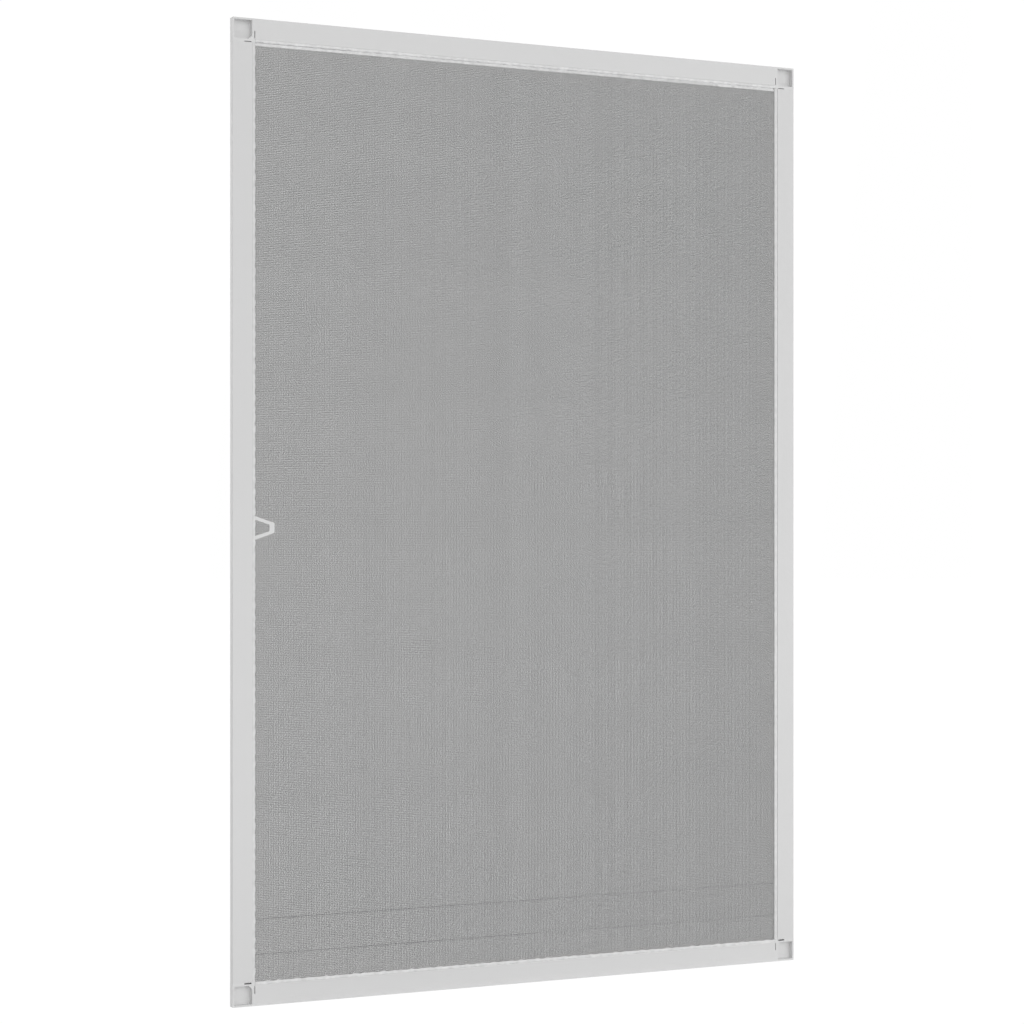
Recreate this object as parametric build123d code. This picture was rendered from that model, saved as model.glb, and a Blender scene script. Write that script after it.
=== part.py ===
from build123d import *
import os

# Window insect screen: four hollow bars plugged onto four moulded corners, a mesh wedged into the
# bars' grooves by four lengths of spline, and a pull tab trapped under the left spline.
# Millimetres. X runs across the screen, Z up, and the face with the grooves looks along -Y.
# The origin is the middle of the bottom edge.

# Frame
frame_width = 800.0
frame_height = 1200.0
bar_width = 29.0
bar_depth = 9.2
bar_wall = 1.1
bar_edge_radius = 0.5

# Groove along the inner edge of every bar, in a flange shallower than the hollow of the bar, and the
# low lip that closes it
groove_width = 2.6
groove_depth = 4.4
groove_edge_radius = 0.2
lip_thickness = 1.0
lip_drop = 2.2
flange_chamfer = 1.1

# Corner moulding
corner_radius = 0.8
pocket_outer_wall = 2.2
pocket_inner_wall = 3.8
pocket_floor = 1.6
pocket_chamfer = 4.5
slit_start = 15.0
slit_length = 9.3
slit_depth = 7.0
slit_width_bottom = 2.0
slit_width_top = 0.9
slit_width_rail = 1.0

# Legs of the corner moulding, plugged into the bars
leg_length = 38.0
leg_clearance = 0.35
leg_wall = 2.0
leg_floor = 1.6
leg_tip_chamfer = 3.0
leg_cores = 3
barb_count = 5
barb_pitch = 5.0
barb_clearance = 0.1

# Mesh: a thin wall with a grid of gaps, upright ridges on the front of its bands and level ridges behind
sheet_thickness = 0.3
gap_size = 50.0
band_width = 42.0
ridge_height = 0.15
ridge_width = 1.2
ridge_pitch = 5.0
ridge_margin = 0.6
sheet_end_gap = 0.5
skirt_clearance = 0.3

# Spline: a stem in the groove and a crowned head over the lip, pressed to the groove's outer wall
# except on the right. The top one has a flat fin over the mesh.
spline_clearance = 0.15
spline_end_gap = 0.4
wall_gap_tight = 0.12
wall_gap_top = 0.2
wall_gap_right = 0.4
head_shoulder = 0.2
head_proud = 0.35
fin_reach = 3.75
fin_thickness = 0.45
fin_valley_width = 0.6
fin_valley_depth = 0.25
fin_nick_length = 4.5
fin_nick_height = 1.6

# Pull tab: its height on the left stile and its loop, measured from the stile's inner edge
tab_height = 581.0
tab_base = 29.0
tab_end = 12.0
tab_reach = 25.4
tab_arm = 4.6
tab_end_bar = 6.7
tab_end_hole = 8.3
tab_thickness = 1.0
tab_clearance = 0.1
tab_corner_radius = 2.0
tab_hole_radius = 1.2
foot_thickness = 0.7
foot_top = 2.6

# Depths are measured back from the front face of the bars
sheet_front = lip_drop - sheet_thickness
ridge_front = sheet_front - ridge_height
tab_back = ridge_front - tab_clearance
tab_front = tab_back - tab_thickness
front_y = -(bar_depth + min(tab_front, -head_proud)) / 2

# Places across a bar are measured in from its outer edge
groove_end = bar_width - lip_thickness
groove_start = groove_end - groove_width
skirt_inner = groove_end - sheet_thickness
flange_back = groove_depth + bar_wall
stem_end = skirt_inner - spline_clearance
head_end = bar_width
fin_end = head_end + fin_reach
foot_end = stem_end
foot_start = foot_end - foot_thickness

half_width = frame_width / 2
across = Vector(1, 0, 0)
up = Vector(0, 0, 1)

# Each side: where its outer front edge starts, the way in, the way along, and its length.
# The sides run round the frame, so each one starts at the corner where the last one ends.
sides = {
    "left": (Vector(-half_width, front_y, 0), across, up, frame_height),
    "top": (Vector(-half_width, front_y, frame_height), -up, across, frame_width),
    "right": (Vector(half_width, front_y, frame_height), -across, -up, frame_height),
    "bottom": (Vector(half_width, front_y, 0), up, -across, frame_width),
}


def section_plane(side):
    """Plane across a bar: x goes in from the outer edge, y goes back, z goes along the bar."""
    start, inward, along, _ = sides[side]
    return Plane(origin=start, x_dir=inward, z_dir=along)


def face_plane(side):
    """Plane on the back of a bar: x goes in, y goes along the bar, z comes forward."""
    start, inward, _, _ = sides[side]
    return Plane(origin=start + Vector(0, bar_depth, 0), x_dir=inward, z_dir=(0, -1, 0))


def run(side, section, end_gap):
    """Extrude a section along one side, between the two corner squares."""
    _, _, _, length = sides[side]
    first = bar_width + end_gap
    solid = extrude(section, amount=length - 2 * first, dir=(0, 0, 1))
    return section_plane(side) * Pos(0, 0, first) * solid


def outline(points):
    """Closed face through a list of points."""
    return make_face(Polyline(*points, close=True))


def block(low, high):
    """Box between two opposite corners."""
    size = [b - a for a, b in zip(low, high)]
    return Pos(*low) * Box(*size, align=(Align.MIN, Align.MIN, Align.MIN))


def bar_section():
    """Hollow box with a flange along its inner edge, and a spline groove in the flange's front."""
    skin = outline([
        (0, 0),
        (groove_start, 0),
        (groove_start, groove_depth),
        (groove_end, groove_depth),
        (groove_end, lip_drop),
        (bar_width, lip_drop),
        (bar_width, flange_back),
        (groove_start, flange_back),
        (groove_start, bar_depth),
        (0, bar_depth),
    ])
    hollow = outline([
        (bar_wall, bar_wall),
        (groove_start - bar_wall, bar_wall),
        (groove_start - bar_wall, bar_depth - bar_wall),
        (bar_wall, bar_depth - bar_wall),
    ])
    corners = skin.vertices()
    outer = corners.filter_by(lambda v: v.X < bar_wall or v.Y > bar_depth - bar_wall)
    skin = fillet(outer, bar_edge_radius)
    mouth = skin.vertices().sort_by_distance((groove_start, 0))[0]
    skin = fillet(mouth, groove_edge_radius)
    flange_edge = skin.vertices().sort_by_distance((bar_width, flange_back))[0]
    skin = chamfer(flange_edge, flange_chamfer)
    return skin - hollow


def leg():
    """Cored, barbed leg that starts on the joint face and runs along +Y; z starts at the back."""
    low = bar_wall + leg_clearance
    high = groove_start - bar_wall - leg_clearance
    thickness = bar_depth - 2 * low
    root = bar_width
    tip = bar_width + leg_length
    shape = outline([
        (low, root),
        (high, root),
        (high, tip - leg_tip_chamfer),
        (high - leg_tip_chamfer, tip),
        (low + leg_tip_chamfer, tip),
        (low, tip - leg_tip_chamfer),
    ])
    for tooth in range(barb_count):
        heel = root + barb_pitch * (tooth + 1)
        toe = heel + barb_pitch
        for edge, outward in ((low, -1), (high, 1)):
            point = edge + outward * (leg_clearance - barb_clearance)
            shape += outline([(edge - outward, heel), (point, heel), (edge - outward, toe)])
    solid = extrude(shape, amount=thickness, dir=(0, 0, 1))
    core_width = high - low - 2 * leg_wall
    core_length = (leg_length - leg_tip_chamfer - leg_wall) / leg_cores - leg_wall
    for core in range(leg_cores):
        near = root + leg_wall + core * (core_length + leg_wall)
        solid -= block(
            (low + leg_wall, near, leg_floor),
            (low + leg_wall + core_width, near + core_length, thickness),
        )
    return Pos(0, 0, low) * solid


def slit(width):
    """Narrow slot in the joint face that looks along +Y, open to the front and into the leg's first core."""
    floor = bar_depth - slit_depth
    mouth = block(
        (slit_start, bar_width - width, floor),
        (slit_start + slit_length, bar_width, bar_depth),
    )
    core_end = groove_start - bar_wall - leg_clearance - leg_wall
    passage = block(
        (slit_start, bar_width, bar_wall + leg_clearance + leg_floor),
        (core_end, bar_width + leg_wall, bar_depth),
    )
    return mouth + passage


def corner_piece(side, slit_along, slit_across):
    """Square cup with a leg along the side that starts here and one along the side that ends here."""
    square = outline([(0, 0), (bar_width, 0), (bar_width, bar_width), (0, bar_width)])
    square = fillet(square.vertices().sort_by_distance((0, 0))[0], corner_radius)
    near = pocket_outer_wall
    far = bar_width - pocket_inner_wall
    pocket = outline([
        (near, near),
        (far, near),
        (far, far - pocket_chamfer),
        (far - pocket_chamfer, far),
        (near, far),
    ])
    pocket = fillet(pocket.vertices().sort_by_distance((near, near))[0], corner_radius)
    body = extrude(square, amount=bar_depth, dir=(0, 0, 1))
    body -= Pos(0, 0, pocket_floor) * extrude(pocket, amount=bar_depth, dir=(0, 0, 1))
    body -= block(
        (groove_start, groove_start, 0),
        (bar_width, bar_width, bar_depth - flange_back),
    )
    diagonal = Plane(origin=(0, 0, 0), z_dir=(1, -1, 0))
    body += leg()
    body += mirror(leg(), about=diagonal)
    body -= slit(slit_along)
    body -= mirror(slit(slit_across), about=diagonal)
    return face_plane(side) * body


def gap_starts(length):
    """Where the gaps begin along one way of the mesh, with what is left shared by the two ends."""
    pitch = gap_size + band_width
    count = int(length // pitch)
    first = (length - count * pitch + band_width) / 2
    return [first + pitch * gap for gap in range(count)]


def ridged_wall(length, height):
    """Half-thickness wall along +X and +Z, with ridges along Z on its bands that stop short of the ends."""
    half = sheet_thickness / 2
    crest = half + ridge_height
    starts = gap_starts(length)
    band_lows = [0] + [start + gap_size for start in starts]
    band_highs = starts + [length]
    points = [(0, 0), (0, half)]
    for low, high in zip(band_lows, band_highs):
        room = high - low - 2 * ridge_margin - ridge_width
        count = int(room // ridge_pitch) + 1
        first = low + ridge_margin + (room - (count - 1) * ridge_pitch) / 2
        for ridge in range(count):
            left = first + ridge * ridge_pitch
            right = left + ridge_width
            points += [(left, half), (left, crest), (right, crest), (right, half)]
    points += [(length, half), (length, 0)]
    wall = extrude(outline(points), amount=height, dir=(0, 0, 1))
    for low, high in ((0, ridge_margin), (height - ridge_margin, height)):
        wall -= block((0, half, low), (length, crest, high))
    return wall


def mesh_sheet():
    """Stretched openwork sheet with ridges on both faces, turned over the lips and down into the grooves."""
    wide = frame_width - 2 * bar_width
    tall = frame_height - 2 * bar_width
    middle_y = front_y + lip_drop - sheet_thickness / 2
    lower_right = Vector(wide / 2, middle_y, bar_width)
    front_plane = Plane(origin=lower_right, x_dir=(-1, 0, 0), z_dir=(0, 0, 1))
    back_plane = Plane(origin=lower_right, x_dir=(0, 0, 1), z_dir=(-1, 0, 0))
    sheet = front_plane * ridged_wall(wide, tall) + back_plane * ridged_wall(tall, wide)
    sheet -= [
        Pos(wide / 2 - column - gap_size / 2, middle_y, bar_width + row + gap_size / 2)
        * Box(gap_size, 2 * sheet_thickness, gap_size)
        for column in gap_starts(wide)
        for row in gap_starts(tall)
    ]
    turn = outline([
        (skirt_inner, sheet_front),
        (bar_width, sheet_front),
        (bar_width, lip_drop),
        (groove_end, lip_drop),
        (groove_end, groove_depth - skirt_clearance),
        (skirt_inner, groove_depth - skirt_clearance),
    ])
    for side in sides:
        sheet += run(side, turn, sheet_end_gap)
    return sheet


def spline_section(wall_gap, with_fin=False):
    """Stem and crowned head, with a flat fin past the head where one is wanted."""
    outer = groove_start + wall_gap
    foot = groove_depth - skirt_clearance
    crown = (outer + head_end) / 2
    path = [
        Line((outer, head_shoulder), (outer, foot)),
        Line((outer, foot), (stem_end, foot)),
        Line((stem_end, foot), (stem_end, sheet_front)),
        Line((stem_end, sheet_front), (head_end, sheet_front)),
        Line((head_end, sheet_front), (head_end, head_shoulder)),
        ThreePointArc((head_end, head_shoulder), (crown, -head_proud), (outer, head_shoulder)),
    ]
    section = make_face(Curve() + path)
    if with_fin:
        fin_back = ridge_front
        fin_front = fin_back - fin_thickness
        section += outline([
            (crown, fin_back),
            (crown, fin_front + fin_valley_depth),
            (head_end + fin_valley_width, fin_front + fin_valley_depth),
            (head_end + fin_valley_width, fin_front),
            (fin_end, fin_front),
            (fin_end, fin_back),
        ])
    return section


def plain_spline(side, wall_gap):
    return run(side, spline_section(wall_gap), spline_end_gap)


def top_spline():
    """Spline with a fin, nicked where fin and head part at its far end."""
    cord = run("top", spline_section(wall_gap_top, with_fin=True), spline_end_gap)
    end = frame_width - bar_width - spline_end_gap
    nick = outline([
        (head_end, end),
        (head_end + fin_nick_height, end),
        (head_end + fin_valley_width, end - fin_nick_length),
    ])
    cutter = extrude(nick, amount=2 * bar_depth, dir=(0, 0, 1))
    return cord - face_plane("top") * cutter


def tab_zone(low_u, low_v, low_s, high_u, high_v, high_s):
    """Box beside the left stile: in from its edge, back from its face, and up from the tab's middle."""
    return section_plane("left") * Pos(0, 0, tab_height) * block(
        (low_u, low_v, low_s), (high_u, high_v, high_s)
    )


def left_spline():
    """Spline relieved for the tab's foot, its head bridged over the tab's two arms."""
    cord = plain_spline("left", wall_gap_tight)
    half = tab_base / 2 + tab_clearance
    slack = foot_start - tab_clearance
    below = groove_depth
    cord -= tab_zone(slack, foot_top - tab_clearance, -half, bar_width, below, half)
    hole = tab_base / 2 - tab_arm - tab_clearance
    for low, high in ((-half, -hole), (hole, half)):
        cord -= tab_zone(slack, tab_front - tab_clearance, low, head_end + tab_clearance, below, high)
    return cord


def pull_tab():
    """Trapezoid loop over the mesh, with two necks down to a foot in the groove."""
    base = tab_base / 2
    end = tab_end / 2
    hole = base - tab_arm
    end_hole = tab_end_hole / 2
    tip = bar_width + tab_reach
    hole_tip = tip - tab_end_bar
    loop = outline([
        (foot_start, -base),
        (bar_width, -base),
        (tip, -end),
        (tip, end),
        (bar_width, base),
        (foot_start, base),
    ])
    loop = fillet(loop.vertices().sort_by(Axis.X)[-2:], tab_corner_radius)
    window = outline([
        (foot_start, -hole),
        (bar_width, -hole),
        (hole_tip, -end_hole),
        (hole_tip, end_hole),
        (bar_width, hole),
        (foot_start, hole),
    ])
    window = fillet(window.vertices().sort_by(Axis.X)[-2:], tab_hole_radius)
    ring = extrude(loop - window, amount=tab_thickness, dir=(0, 0, 1))
    tab = face_plane("left") * Pos(0, tab_height, bar_depth - tab_back) * ring
    foot_bottom = groove_depth - skirt_clearance
    tab += tab_zone(foot_start, foot_top, -base, foot_end, foot_bottom, base)
    for low, high in ((-base, -hole), (hole, base)):
        tab += tab_zone(foot_start, tab_front, low, foot_end, foot_bottom, high)
    return tab


bar = bar_section()
parts = {
    "left_stile": run("left", bar, 0),
    "top_rail": run("top", bar, 0),
    "right_stile": run("right", bar, 0),
    "bottom_rail": run("bottom", bar, 0),
    "corner_bottom_left": corner_piece("left", slit_width_bottom, slit_width_rail),
    "corner_top_left": corner_piece("top", slit_width_rail, slit_width_top),
    "corner_top_right": corner_piece("right", slit_width_top, slit_width_rail),
    "corner_bottom_right": corner_piece("bottom", slit_width_rail, slit_width_bottom),
    "insect_mesh": mesh_sheet(),
    "spline_left": left_spline(),
    "spline_top": top_spline(),
    "spline_right": plain_spline("right", wall_gap_right),
    "spline_bottom": plain_spline("bottom", wall_gap_tight),
    "pull_tab": pull_tab(),
}

os.makedirs("parts", exist_ok=True)
for name, solid in parts.items():
    export_step(solid, f"parts/{name}.step")
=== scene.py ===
import math
import random

import bmesh
import bpy
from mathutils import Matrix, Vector


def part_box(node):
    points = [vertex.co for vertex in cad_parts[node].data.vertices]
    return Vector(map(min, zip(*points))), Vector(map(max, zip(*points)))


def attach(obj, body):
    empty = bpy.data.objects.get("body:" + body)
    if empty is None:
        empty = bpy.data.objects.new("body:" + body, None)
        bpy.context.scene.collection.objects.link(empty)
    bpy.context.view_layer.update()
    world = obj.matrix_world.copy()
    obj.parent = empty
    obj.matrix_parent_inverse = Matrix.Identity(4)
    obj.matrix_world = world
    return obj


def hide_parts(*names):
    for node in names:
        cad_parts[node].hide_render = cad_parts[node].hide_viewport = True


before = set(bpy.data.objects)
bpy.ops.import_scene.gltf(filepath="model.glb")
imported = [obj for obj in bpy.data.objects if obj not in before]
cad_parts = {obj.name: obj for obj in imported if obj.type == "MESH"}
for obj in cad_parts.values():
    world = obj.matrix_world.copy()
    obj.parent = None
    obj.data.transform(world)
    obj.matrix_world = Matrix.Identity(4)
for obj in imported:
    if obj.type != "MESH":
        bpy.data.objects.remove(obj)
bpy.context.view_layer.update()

MM = 0.001

# Frame sizes, in millimetres, as in the part's source; depths are measured back from the front
FRAME_WIDTH = 800.0
FRAME_HEIGHT = 1200.0
BAR_WIDTH = 29.0
FRONT_Y = -4.425
SHEET_FRONT = 1.9
GROOVE_SKIRT_DEPTH = 4.1
SKIRT_INSET = 27.85

# Mesh yarns, in millimetres: their pitch, how much of it a light and a heavy yarn cover, and how often a
# heavy one comes
YARN_PITCH = 0.72
LIGHT_SHARE = 0.38
HEAVY_SHARE = 0.58
HEAVY_EVERY = 3
UPRIGHT_DEPTH = 1.97
LEVEL_DEPTH = 2.02
YARN_SIDES = 6
YARN_MARGIN = 0.4
YARN_SEED = 11

# How far a yarn lies off its place: by chance, in pitches, and in slow waves (length and share of each)
YARN_JITTER = 0.015
YARN_DRIFT = 0.3
DRIFT_WAVES = ((170.0, 0.6), (83.0, 0.4))

# Fold creases across the mesh, where the level yarns look thicker
CREASE_HEIGHTS = (62.0, 105.0)
CREASE_REACH = 1.2
CREASE_SWELL = 1.22

# Splines, in millimetres: the step of the cuts along them, and the waves that the roller left on the inner
# edge, the crown and the fin's root (height, then length and share of each wave)
WAVE_STEP = 2.0
EDGE_WAVE = {"spline_left": 0.65, "spline_top": 0.65, "spline_right": 0.1, "spline_bottom": 0.65}
EDGE_WAVES = ((12.7, 0.45), (19.3, 0.35), (7.1, 0.2))
CROWN_WAVE = 0.24
CROWN_WAVES = ((5.3, 0.4), (8.3, 0.35), (13.9, 0.25))
FIN_LIFT = 0.9
FIN_WAVE = 0.6

# Where the waves start: the step from one spline to the next, and the shift of the crown and the fin
PHASE_STEP = 1.3
CROWN_PHASE = 2.0
FIN_PHASE = 4.0
FIRST_PHASE_SHARE = 1.7

# How far each spline's head spreads outward over the bar, inward over the mesh, and at its ends
SPREAD_OUT = {"spline_left": 0.1, "spline_top": 0.1, "spline_right": 0.0, "spline_bottom": 0.1}
SPREAD_IN = {"spline_left": 0.0, "spline_top": 0.0, "spline_right": 1.2, "spline_bottom": 0.5}
END_STRETCH = 0.3

# Zones of a spline's section: how far inward of the head's inner side, and how deep the crown goes
OUTER_SIDE = -3.0
INNER_SIDE = (-1.0, 0.1)
FIN_ROOT = (0.1, 1.0)
CROWN_DEPTH = 0.1
DEPTH_SLACK = 0.01
SHARP_ANGLE = 40.0

# Distances, in metres, within which points are one, and a cut meets a point
SAME_PLACE = 1e-6
SAME_CUT = 1e-7

# Finishes: the usual range of a noise, the swing of the roughness and the strength of the two bumps
NOISE_RANGE = (0.3, 0.7)
ROUGH_SWING = 0.05
FINE_BUMP = 0.25
DRAWN_BUMP = 0.2

# Stretch of a finish's drawn grain: along the upright bars, along the level ones, or none
ALONG_STILE = (1, 1, 0.01)
ALONG_RAIL = (0.01, 1, 1)
NO_DRAW = (1, 1, 1)

# Tone, roughness and gloss of the yarns' coat
YARN_TONES = (0.12, 0.14)
YARN_ROUGH = (0.5, 0.65)
YARN_GLOSS = 0.35

# Stage, in metres, and its light
FLOOR_REACH = 30.0
WALL_RADIUS = 28.0
WALL_HEIGHT = 20.0
WALL_SIDES = 96
FLOOR_GLOW = 0.98
WALL_GLOW = 1.0
SHADE_TONE = 0.05
FLOOR_TONE = 0.9
SEEN_LIGHT = 1.0
EVEN_LIGHT = 0.52
SUN_SPREAD = 70.0

# Camera that took the photograph
CAMERA_PLACE = (-1.4914, -2.9756, 0.5762)
CAMERA_TURN = -26.30
CAMERA_LENS = 91.43
CAMERA_SENSOR = 36.0
CAMERA_SHIFT_Y = 0.0194


def noise(tree, scale, detail, stretch=NO_DRAW):
    """Noise in the part's own frame, drawn out along an axis where stretch is small."""
    coordinates = tree.nodes.new("ShaderNodeTexCoord")
    mapping = tree.nodes.new("ShaderNodeMapping")
    mapping.inputs["Scale"].default_value = stretch
    tree.links.new(coordinates.outputs["Object"], mapping.inputs["Vector"])
    texture = tree.nodes.new("ShaderNodeTexNoise")
    texture.inputs["Scale"].default_value = scale
    texture.inputs["Detail"].default_value = detail
    tree.links.new(mapping.outputs["Vector"], texture.inputs["Vector"])
    return texture.outputs["Fac"]


def spread(tree, value, low, high):
    """The noise's usual range, drawn out to low and high."""
    ranged = tree.nodes.new("ShaderNodeMapRange")
    ranged.inputs["From Min"].default_value = NOISE_RANGE[0]
    ranged.inputs["From Max"].default_value = NOISE_RANGE[1]
    ranged.inputs["To Min"].default_value = low
    ranged.inputs["To Max"].default_value = high
    tree.links.new(value, ranged.inputs["Value"])
    return ranged.outputs["Result"]


def grey(level):
    """Neutral colour."""
    return (level, level, level, 1.0)


def tint(tree, value, dark, light):
    """Grey between dark and light, as the noise goes."""
    mix = tree.nodes.new("ShaderNodeMix")
    mix.data_type = "RGBA"
    mix.inputs["A"].default_value = grey(dark)
    mix.inputs["B"].default_value = grey(light)
    tree.links.new(value, mix.inputs["Factor"])
    return mix.outputs["Result"]


def bump(tree, value, strength, distance, under=None):
    """Bump from a noise, laid over another bump where one is given."""
    node = tree.nodes.new("ShaderNodeBump")
    node.inputs["Strength"].default_value = strength
    node.inputs["Distance"].default_value = distance
    tree.links.new(value, node.inputs["Height"])
    if under is not None:
        tree.links.new(under, node.inputs["Normal"])
    return node.outputs["Normal"]


def finish_material(name, level, swing, rough, gloss, broad, grain, depth, stretch):
    """Painted, moulded or extruded finish: broad tone drift (on the splines' vinyl, painted glints), fine
    grain in the bump, uneven gloss.
    """
    material = bpy.data.materials.new(name)
    material.use_nodes = True
    tree = material.node_tree
    shader = tree.nodes["Principled BSDF"]
    shader.inputs["Specular IOR Level"].default_value = gloss
    drift = spread(tree, noise(tree, scale=broad, detail=3.0), 0.0, 1.0)
    tree.links.new(tint(tree, drift, level - swing, level + swing), shader.inputs["Base Color"])
    patches = noise(tree, scale=grain / 6, detail=2.0)
    roughness = spread(tree, patches, rough - ROUGH_SWING, rough + ROUGH_SWING)
    tree.links.new(roughness, shader.inputs["Roughness"])
    fine = noise(tree, scale=grain, detail=2.0)
    drawn = noise(tree, scale=grain, detail=1.0, stretch=stretch)
    normal = bump(tree, fine, FINE_BUMP, depth)
    normal = bump(tree, drawn, DRAWN_BUMP, depth, normal)
    tree.links.new(normal, shader.inputs["Normal"])
    return material


def yarn_material():
    """Grey coated glass yarn: dull, with the coat a little uneven along each yarn."""
    material = bpy.data.materials.new("mesh_yarn_coat")
    material.use_nodes = True
    tree = material.node_tree
    shader = tree.nodes["Principled BSDF"]
    shader.inputs["Specular IOR Level"].default_value = YARN_GLOSS
    drift = spread(tree, noise(tree, scale=90.0, detail=3.0), 0.0, 1.0)
    tree.links.new(tint(tree, drift, *YARN_TONES), shader.inputs["Base Color"])
    roughness = spread(tree, noise(tree, scale=700.0, detail=1.0), *YARN_ROUGH)
    tree.links.new(roughness, shader.inputs["Roughness"])
    normal = bump(tree, noise(tree, scale=3500.0, detail=2.0), strength=0.3, distance=0.0001)
    tree.links.new(normal, shader.inputs["Normal"])
    return material


def dress(names, material):
    """Put one material on CAD nodes."""
    for name in names:
        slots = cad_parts[name].data.materials
        slots.clear()
        slots.append(material)


def place_object(name, data):
    """New object in the scene."""
    placed = bpy.data.objects.new(name, data)
    bpy.context.scene.collection.objects.link(placed)
    return placed


def new_piece(name, mesh, material, slot, *nodes):
    """Piece of the object that rides on its one body and stands for CAD nodes."""
    mesh.materials.clear()
    mesh.materials.append(material)
    piece = place_object(name, mesh)
    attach(piece, "root")
    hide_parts(*nodes)
    return piece


def yarn(points, faces, path, sideways, radius, turned):
    """Capped tube along a path that stays in one plane; sideways is square to that plane."""
    first = len(points)
    count = len(path)
    for index, place in enumerate(path):
        before = (place - path[index - 1]).normalized() if index else None
        after = (path[index + 1] - place).normalized() if index + 1 < count else None
        along = (before or after) + (after or before)
        normal = sideways.cross(along).normalized()
        stretch = 1.0
        if before and after:
            stretch = 1.0 / max(0.5, normal.dot(sideways.cross(after)))
        for side in range(YARN_SIDES):
            angle = 2 * math.pi * (side + turned) / YARN_SIDES
            offset = sideways * math.cos(angle) + normal * math.sin(angle) * stretch
            points.append((place + offset * radius) * MM)
    for ring in range(count - 1):
        low = first + ring * YARN_SIDES
        for side in range(YARN_SIDES):
            other = (side + 1) % YARN_SIDES
            faces.append((low + side, low + other, low + YARN_SIDES + other, low + YARN_SIDES + side))
    last = first + (count - 1) * YARN_SIDES
    faces.append(tuple(first + side for side in reversed(range(YARN_SIDES))))
    faces.append(tuple(last + side for side in range(YARN_SIDES)))


def wave(waves, place, phase):
    """Unevenness along a run, from -1 to 1, of waves that each have a length and a share."""
    total = 0.0
    for number, (length, share) in enumerate(waves):
        total += share * math.sin(2 * math.pi * place / length + phase * (number + FIRST_PHASE_SHARE))
    return total


def spread_places(low, high, draw):
    """Places between low and high at about one pitch, which drifts slowly, each a little off."""
    count = int((high - low - 2 * (YARN_MARGIN + YARN_DRIFT)) / YARN_PITCH) + 1
    first = (low + high - (count - 1) * YARN_PITCH) / 2
    phase = draw.uniform(0.0, 2 * math.pi)
    places = []
    for index in range(count):
        place = first + YARN_PITCH * (index + draw.uniform(-YARN_JITTER, YARN_JITTER))
        places.append(place + YARN_DRIFT * wave(DRIFT_WAVES, place, phase))
    return places


def yarn_radius(number):
    """Half the thickness of the yarn that has this number in its row."""
    share = LIGHT_SHARE if number % HEAVY_EVERY else HEAVY_SHARE
    return YARN_PITCH * share / 2


def woven_mesh():
    """Stretched mesh: level yarns behind upright ones, every end turned down into its groove."""
    draw = random.Random(YARN_SEED)
    points, faces = [], []
    skirt_y = FRONT_Y + GROOVE_SKIRT_DEPTH
    half_span = FRAME_WIDTH / 2 - SKIRT_INSET
    half_open = FRAME_WIDTH / 2 - BAR_WIDTH
    across, up = Vector((1, 0, 0)), Vector((0, 0, 1))
    low, high = SKIRT_INSET, FRAME_HEIGHT - SKIRT_INSET
    y = FRONT_Y + UPRIGHT_DEPTH
    for number, x in enumerate(spread_places(-half_open, half_open, draw)):
        path = [Vector((x, skirt_y, low)), Vector((x, y, low)),
                Vector((x, y, high)), Vector((x, skirt_y, high))]
        yarn(points, faces, path, across, yarn_radius(number), turned=0.5)
    y = FRONT_Y + LEVEL_DEPTH
    for number, z in enumerate(spread_places(BAR_WIDTH, FRAME_HEIGHT - BAR_WIDTH, draw)):
        radius = yarn_radius(number)
        if min(abs(z - crease) for crease in CREASE_HEIGHTS) < CREASE_REACH:
            radius *= CREASE_SWELL
        path = [Vector((-half_span, skirt_y, z)), Vector((-half_span, y, z)),
                Vector((half_span, y, z)), Vector((half_span, skirt_y, z))]
        yarn(points, faces, path, up, radius, turned=0.0)
    mesh = bpy.data.meshes.new("mesh_yarns")
    mesh.from_pydata(points, [], faces)
    for polygon in mesh.polygons:
        polygon.use_smooth = len(polygon.vertices) == 4
    return mesh


def cut_into_steps(work, axis, low, high):
    """Cut a long piece across its axis into short steps."""
    normal = [0.0, 0.0, 0.0]
    normal[axis] = 1.0
    steps = int((high - low) / (WAVE_STEP * MM))
    for step in range(1, steps):
        place = [0.0, 0.0, 0.0]
        place[axis] = low + (high - low) * step / steps
        parts = work.verts[:] + work.edges[:] + work.faces[:]
        bmesh.ops.bisect_plane(work, geom=parts, dist=SAME_CUT, plane_co=place, plane_no=normal)


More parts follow.
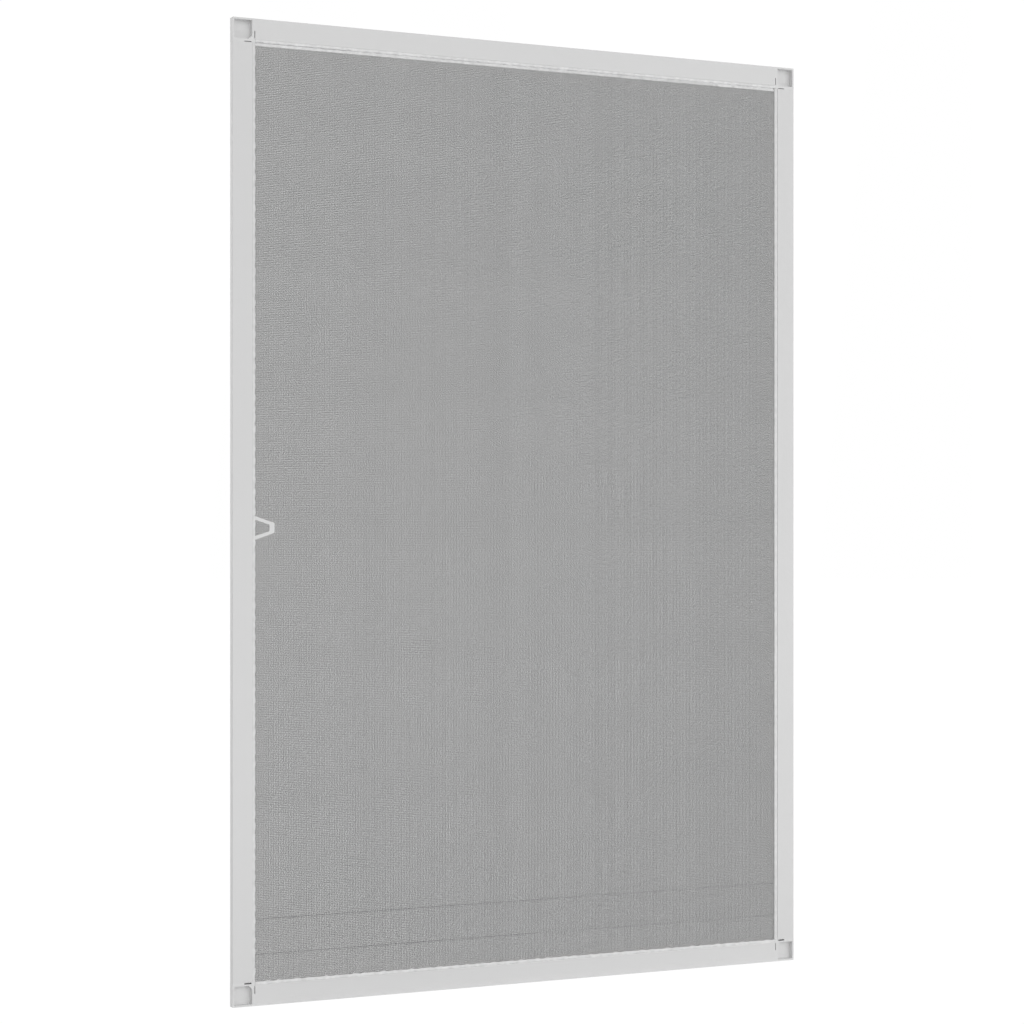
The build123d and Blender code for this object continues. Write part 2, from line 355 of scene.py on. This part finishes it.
def rolled_spline(name, axis, inward, edge, phase):
    """Copy of a CAD spline, cut into short steps, its head spread and a little wavy from the roller.

    The head's inner side lies at edge along inward, and a fin past it keeps its straight end.
    """
    work = bmesh.new()
    work.from_mesh(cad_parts[name].data)
    bmesh.ops.remove_doubles(work, verts=work.verts, dist=SAME_PLACE)
    low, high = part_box(name)
    low, high = low[axis], high[axis]
    cut_into_steps(work, axis, low, high)
    for vertex in work.verts:
        depth = vertex.co.y / MM - FRONT_Y
        if depth > SHEET_FRONT + DEPTH_SLACK:
            continue
        along = vertex.co[axis] / MM
        beyond = vertex.co.dot(inward) / MM - edge
        if vertex.co[axis] - low < SAME_PLACE:
            vertex.co[axis] -= END_STRETCH * MM
        elif high - vertex.co[axis] < SAME_PLACE:
            vertex.co[axis] += END_STRETCH * MM
        if beyond < OUTER_SIDE:
            vertex.co -= inward * (SPREAD_OUT[name] * MM)
            vertex.co.y -= SPREAD_OUT[name] * MM
        elif INNER_SIDE[0] < beyond < INNER_SIDE[1]:
            reach = SPREAD_IN[name] + EDGE_WAVE[name] * wave(EDGE_WAVES, along, phase)
            vertex.co += inward * (reach * MM)
        if depth < CROWN_DEPTH and beyond > OUTER_SIDE:
            vertex.co.y += CROWN_WAVE * MM * wave(CROWN_WAVES, along, phase + CROWN_PHASE)
        if FIN_ROOT[0] < beyond < FIN_ROOT[1]:
            vertex.co.y -= MM * (FIN_LIFT + FIN_WAVE * wave(CROWN_WAVES, along, phase + FIN_PHASE))
    mesh = bpy.data.meshes.new(name + "_rolled")
    work.to_mesh(mesh)
    work.free()
    for polygon in mesh.polygons:
        polygon.use_smooth = True
    mesh.set_sharp_from_angle(angle=math.radians(SHARP_ANGLE))
    return mesh


def seen_directly(tree):
    """1 for what the camera sees, also in a reflection or through a clear thing, and 0 for other light."""
    light_path = tree.nodes.new("ShaderNodeLightPath")
    value = light_path.outputs["Is Camera Ray"]
    for ray in ("Is Glossy Ray", "Is Transmission Ray"):
        larger = tree.nodes.new("ShaderNodeMath")
        larger.operation = "MAXIMUM"
        tree.links.new(value, larger.inputs[0])
        tree.links.new(light_path.outputs[ray], larger.inputs[1])
        value = larger.outputs["Value"]
    return value


def choose_shader(tree, otherwise, seen, output):
    """Link one shader for what is seen directly and another for the rest of the light."""
    choice = tree.nodes.new("ShaderNodeMixShader")
    tree.links.new(seen_directly(tree), choice.inputs["Fac"])
    tree.links.new(otherwise, choice.inputs[1])
    tree.links.new(seen, choice.inputs[2])
    tree.links.new(choice.outputs["Shader"], output.inputs["Surface"])


def white_backdrop(name, strength):
    """White where it is seen, with a faint shadow shaded as on a level floor; else a pale matt surface."""
    material = bpy.data.materials.new(name)
    material.use_nodes = True
    tree = material.node_tree
    tree.nodes.clear()
    output = tree.nodes.new("ShaderNodeOutputMaterial")
    plain = tree.nodes.new("ShaderNodeBsdfDiffuse")
    plain.inputs["Color"].default_value = grey(FLOOR_TONE)
    upward = tree.nodes.new("ShaderNodeCombineXYZ")
    upward.inputs["Z"].default_value = 1.0
    shadowed = tree.nodes.new("ShaderNodeBsdfDiffuse")
    shadowed.inputs["Color"].default_value = grey(SHADE_TONE)
    tree.links.new(upward.outputs["Vector"], shadowed.inputs["Normal"])
    glow = tree.nodes.new("ShaderNodeEmission")
    glow.inputs["Strength"].default_value = strength
    both = tree.nodes.new("ShaderNodeAddShader")
    tree.links.new(shadowed.outputs["BSDF"], both.inputs[0])
    tree.links.new(glow.outputs["Emission"], both.inputs[1])
    choose_shader(tree, plain.outputs["BSDF"], both.outputs["Shader"], output)
    return material


def plain_light(tree, strength):
    """Even white light of the world."""
    background = tree.nodes.new("ShaderNodeBackground")
    background.inputs["Color"].default_value = grey(1.0)
    background.inputs["Strength"].default_value = strength
    return background.outputs["Background"]


def soft_lamp(name, place, target, width, height, watts):
    """Soft lamp that looks at a point and isn't seen itself."""
    data = bpy.data.lights.new(name, "AREA")
    data.shape = "RECTANGLE"
    data.size = width
    data.size_y = height
    data.energy = watts
    lamp = place_object(name, data)
    lamp.location = place
    lamp.rotation_euler = (Vector(target) - Vector(place)).to_track_quat("-Z", "Y").to_euler()
    lamp.visible_camera = False


def soft_sun(name, source, strength):
    """Wide, even light from far off in the direction of source."""
    data = bpy.data.lights.new(name, "SUN")
    data.energy = strength
    data.angle = math.radians(SUN_SPREAD)
    lamp = place_object(name, data)
    lamp.rotation_euler = (-Vector(source)).to_track_quat("-Z", "Y").to_euler()


# Finishes, with painted shade on the bars and painted glints and highlights on the splines
# The stiles' coat is set darker than the rails' coat though the bars share one paint: painted shade
stile_coat = finish_material("stile_coat", level=0.708, swing=0.006, rough=0.48, gloss=0.4,
                             broad=5.0, grain=1100.0, depth=0.00012, stretch=ALONG_STILE)
rail_coat = finish_material("rail_coat", level=0.72, swing=0.006, rough=0.48, gloss=0.4,
                            broad=5.0, grain=1100.0, depth=0.00012, stretch=ALONG_RAIL)
corner_plastic = finish_material("corner_plastic", level=0.735, swing=0.008, rough=0.55, gloss=0.4,
                                 broad=40.0, grain=1800.0, depth=0.0001, stretch=NO_DRAW)
# Patchy spline tone: painted glints where light catches the crinkled crown
stile_vinyl_and_glints = finish_material("stile_vinyl_and_glints", level=0.75, swing=0.045, rough=0.6, gloss=0.35,
                              broad=150.0, grain=2200.0, depth=0.00015, stretch=ALONG_STILE)
# Rails' vinyl lighter and patchier than the stiles': painted highlight on the top and bottom splines
rail_vinyl_and_highlights = finish_material("rail_vinyl_and_highlights", level=0.79, swing=0.07, rough=0.6, gloss=0.35,
                             broad=150.0, grain=2200.0, depth=0.00015, stretch=ALONG_RAIL)
tab_vinyl = finish_material("tab_vinyl", level=0.74, swing=0.01, rough=0.45, gloss=0.45,
                            broad=120.0, grain=1500.0, depth=0.0001, stretch=NO_DRAW)

stiles = ["left_stile", "right_stile"]
rails = ["top_rail", "bottom_rail"]
corners = [f"corner_{end}_{side}" for end in ("bottom", "top") for side in ("left", "right")]
dress(stiles, stile_coat)
dress(rails, rail_coat)
dress(corners, corner_plastic)
dress(["pull_tab"], tab_vinyl)

# Mesh
screen = new_piece("woven_mesh", woven_mesh(), yarn_material(), "mesh_yarn", "insect_mesh")

# Splines: the axis of each run, the way to the mesh and where the head's inner side lies along it
half_opening = BAR_WIDTH - FRAME_WIDTH / 2
runs = {
    "spline_left": (2, Vector((1, 0, 0)), half_opening, stile_vinyl_and_glints),
    "spline_top": (0, Vector((0, 0, -1)), BAR_WIDTH - FRAME_HEIGHT, rail_vinyl_and_highlights),
    "spline_right": (2, Vector((-1, 0, 0)), half_opening, stile_vinyl_and_glints),
    "spline_bottom": (0, Vector((0, 0, 1)), BAR_WIDTH, rail_vinyl_and_highlights),
}
for number, (node, (axis, inward, edge, material)) in enumerate(runs.items()):
    mesh = rolled_spline(node, axis, inward, edge, PHASE_STEP * number)
    new_piece("rolled_" + node, mesh, material, "spline_vinyl", node)

# Floor
floor_corners = ((-1, -1), (1, -1), (1, 1), (-1, 1))
floor_points = [(x * FLOOR_REACH, y * FLOOR_REACH, 0) for x, y in floor_corners]
floor_mesh = bpy.data.meshes.new("floor")
floor_mesh.from_pydata(floor_points, [], [(0, 1, 2, 3)])
floor_mesh.materials.append(white_backdrop("floor_white", FLOOR_GLOW))
floor = place_object("floor", floor_mesh)

# Round wall far behind the object, which gives no light to it
ring = bmesh.new()
bmesh.ops.create_cone(ring, segments=WALL_SIDES, radius1=WALL_RADIUS, radius2=WALL_RADIUS, depth=WALL_HEIGHT)
bmesh.ops.reverse_faces(ring, faces=ring.faces[:])
wall_mesh = bpy.data.meshes.new("wall")
ring.to_mesh(wall_mesh)
ring.free()
wall_mesh.materials.append(white_backdrop("wall_white", WALL_GLOW))
wall = place_object("wall", wall_mesh)
wall.location = (0, 0, WALL_HEIGHT / 2)
wall.visible_diffuse = False
wall.visible_glossy = False
wall.visible_shadow = False

# World: white where it is seen, a softer even light elsewhere
world = bpy.data.worlds.new("studio")
bpy.context.scene.world = world
world.use_nodes = True
world_tree = world.node_tree
world_tree.nodes.clear()
world_output = world_tree.nodes.new("ShaderNodeOutputWorld")
even_light = plain_light(world_tree, EVEN_LIGHT)
seen_light = plain_light(world_tree, SEEN_LIGHT)
choose_shader(world_tree, even_light, seen_light, world_output)

# Lamps
soft_sun("front", source=(0.0, -1.0, 0.2), strength=1.08)
soft_sun("back", source=(-0.4, 0.9, 0.3), strength=0.95)
soft_lamp("right_fill", place=(1.6, -1.6, 0.95), target=(0.1, 0.0, 0.85), width=1.5, height=1.5, watts=3.3)
soft_lamp("low_fill", place=(0.1, -0.8, 0.14), target=(0.1, 0.0, 0.1), width=1.2, height=0.2, watts=0.75)

# Camera
camera_data = bpy.data.cameras.new("camera")
camera_data.lens = CAMERA_LENS
camera_data.sensor_width = CAMERA_SENSOR
camera_data.shift_y = CAMERA_SHIFT_Y
camera = place_object("camera", camera_data)
camera.location = CAMERA_PLACE
camera.rotation_euler = (math.radians(90), 0, math.radians(CAMERA_TURN))
bpy.context.scene.camera = camera

bpy.context.scene.view_settings.view_transform = "Standard"
